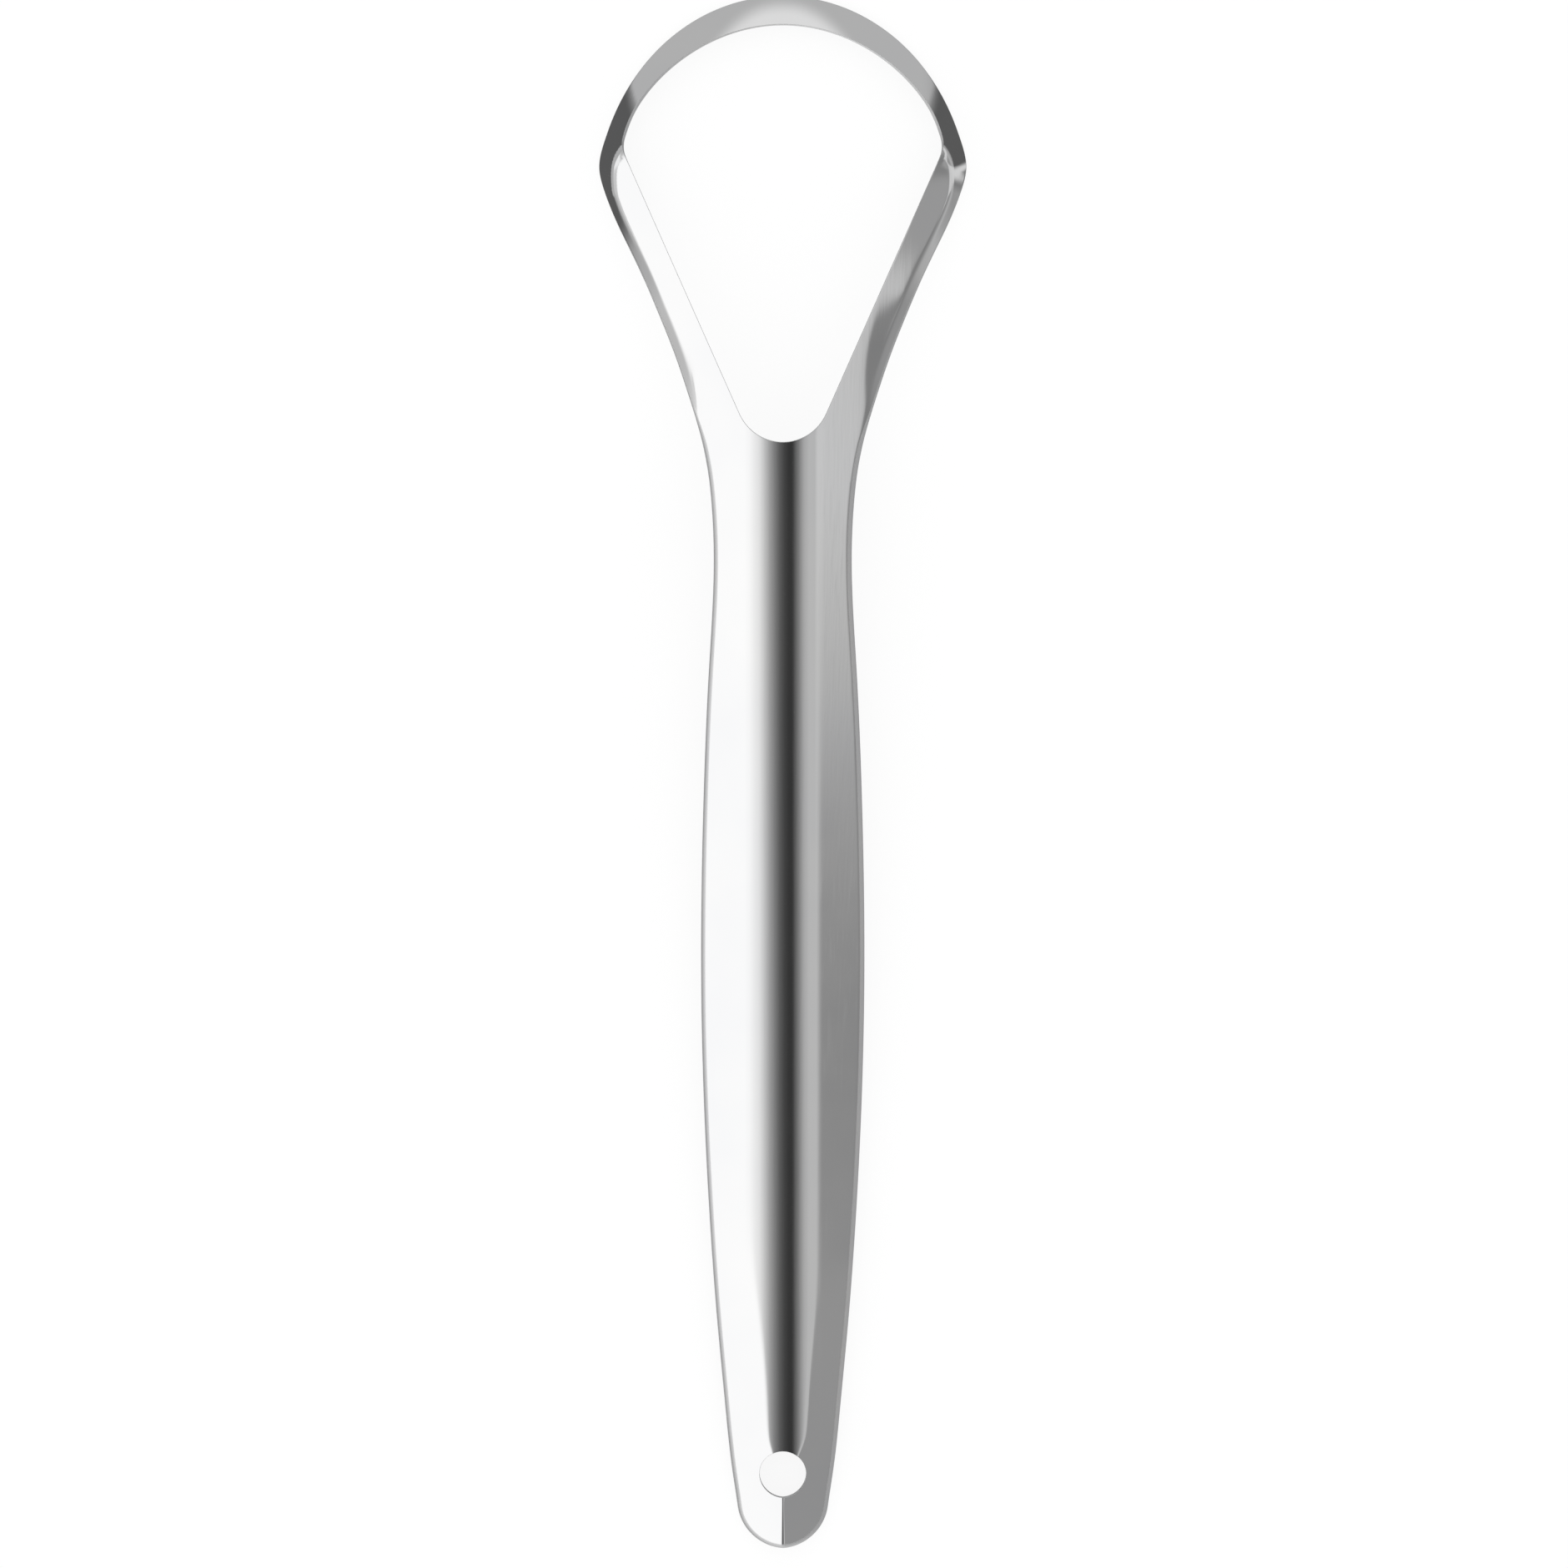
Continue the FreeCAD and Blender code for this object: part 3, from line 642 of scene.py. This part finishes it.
# Soft studio light: one surrounding of pale cards and dark gaps, as the metal shows it. First come levels by
# the angle across the handle, from the left through the zenith to the right. Each card then sets its level
# where all its limits hold. A limit is a measure, the value where it starts to hold and the value where it
# holds in full, and of limits in a list the stronger counts.
studio = {
    "across": [(-180, 0.7), (-117, 0.62), (-95, 0.6), (-82, 0.74), (-74, 1.15), (-67, 1.45), (-53, 1.45),
               (-45, 1.38), (-31, 1.11), (-24.6, 0.82), (-18, 0.53), (-11.4, 0.32), (-4.9, 0.165),
               (1.6, 0.085), (8, 0.05), (12.5, 0.052), (15, 0.107), (21.3, 0.30), (28, 0.57), (35, 0.69),
               (47, 0.69), (54, 0.36), (64, 0.30), (72, 0.31), (80, 0.37), (91, 0.46), (98, 0.56),
               (104, 0.62), (112, 0.5), (120, 0.42), (180, 0.6)],
    "brightest": 2.0,
    "cards": [
        (0.41, [("angle", 48, 53), ("angle", 70, 64), ("place", -0.023, -0.058)]),  # right flank at the tail
        (0.84, [("angle", 43, 49), ("angle", 60.5, 55.5), ("place", -0.016, 0.026)]),  # and at the neck
        (0.84, [("angle", 68, 74), ("angle", 118, 112), ("place", 0.03, 0.05),
                ("place", 0.19, 0.15)]),  # right rim
        (0.46, [("angle", 57, 60), ("angle", 74, 68), ("place", 0.06, 0.085)]),  # right arm
        (0.82, [("angle", -68, -72), ("angle", -96, -90), ("place", 0.0, 0.03)]),  # left rim
        (1.25, [("angle", -68, -72), ("angle", -96, -90), ("place", 0.06, 0.16)]),  # left corner
        (0.14, [("side", -0.3, -0.5), ("place", -0.04, -0.09), ("up", -0.12, -0.42)]),  # left flange
        (0.64, [("along", 0.35, 0.65)]),  # arch
        (1.05, [("wide", 0.32, 0.05), ("up", 0.42, 0.66), ("along", 0.45, 0.65)]),  # crest
        (0.9, [("along", -0.55, -0.8)]),  # toward the tip
        (0.14, [("up", -0.40, -0.45), [("along", -0.05, 0.05), ("side", -0.3, -0.5)],
                ("along", 0.6, 0.45)]),  # sides of the arch
        (0.9, [("along", 0.0, 0.045), ("along", 0.16, 0.07), ("side", 0.72, 0.8),
               ("up", 0.2, 0.0)]),  # right corner
        (1.3, [("up", -0.72, -0.8), ("side", 0.1, -0.1), ("along", 0, -0.08)]),  # from under the left side
    ],
    "open": 1.06,  # level for all but mirrored light
}
world = bpy.data.worlds.new("studio")
bpy.context.scene.world = world
world.use_nodes = True
world.cycles.sampling_method = "NONE"
nodes, links = world.node_tree.nodes, world.node_tree.links
direction = nodes.new("ShaderNodeSeparateXYZ")
links.new(nodes.new("ShaderNodeTexCoord").outputs["Generated"], direction.inputs[0])
side, along, up = direction.outputs
angle = calc("ARCTAN2", side, up)
measures = {
    "side": side,
    "along": along,
    "up": up,
    "wide": calc("ABSOLUTE", side),
    "angle": angle,
    "place": calc("ADD", along, calc("MULTIPLY", calc("ADD", up, 1.0), math.sin(turn))),  # along the handle
}


def holds(limit):
    # How far a limit holds, from 0 to 1, as a smooth step of its measure.
    if isinstance(limit, list):
        return calc("MAXIMUM", *map(holds, limit))
    name, start, end = limit
    unit = math.radians(1) if name == "angle" else 1
    return mapped("SMOOTHSTEP", measures[name], start * unit, end * unit, 0, 1)


ramp = nodes.new("ShaderNodeValToRGB")
links.new(calc("ADD", calc("DIVIDE", angle, 2 * math.pi), 0.5), ramp.inputs[0])
stops = ramp.color_ramp.elements
for k, (degrees, grey) in enumerate(studio["across"]):
    stop = stops[k] if k < 2 else stops.new(1.0)
    stop.position = (degrees + 180) / 360
    stop.color = (grey / studio["brightest"],) * 3 + (1,)
level = calc("MULTIPLY", ramp.outputs[0], studio["brightest"])
for cardLevel, limits in studio["cards"]:
    weight = holds(limits[0])
    for limit in limits[1:]:
        weight = calc("MULTIPLY", weight, holds(limit))
    level = mix(weight, level, cardLevel)
background = nodes["Background"]
background.inputs["Color"].default_value = (1, 1, 1, 1)
mirrored = nodes.new("ShaderNodeLightPath").outputs["Is Glossy Ray"]
links.new(mix(mirrored, studio["open"], level), background.inputs["Strength"])
print("studio light")

# The camera looks straight down at the part on the table, as in the photograph.
view = {
    "lens": 250.0,
    "sensor": 36.0,
    "frameSize": 151.3,
    "centre": (0.12, -1.25, 5.0),
    "clip": (0.01, 20.0),  # metres
}
camera = bpy.data.cameras.new("camera")
camera.lens = view["lens"]
camera.sensor_width = view["sensor"]
camera.clip_start, camera.clip_end = view["clip"]
cameraThing = bpy.data.objects.new("camera", camera)
bpy.context.scene.collection.objects.link(cameraThing)
distance = view["frameSize"] / view["sensor"] * view["lens"]
cameraThing.location = (Vector(view["centre"]) + Vector((0, 0, distance))) * metres
bpy.context.scene.camera = cameraThing
bpy.context.scene.view_settings.view_transform = "Standard"
print("camera")
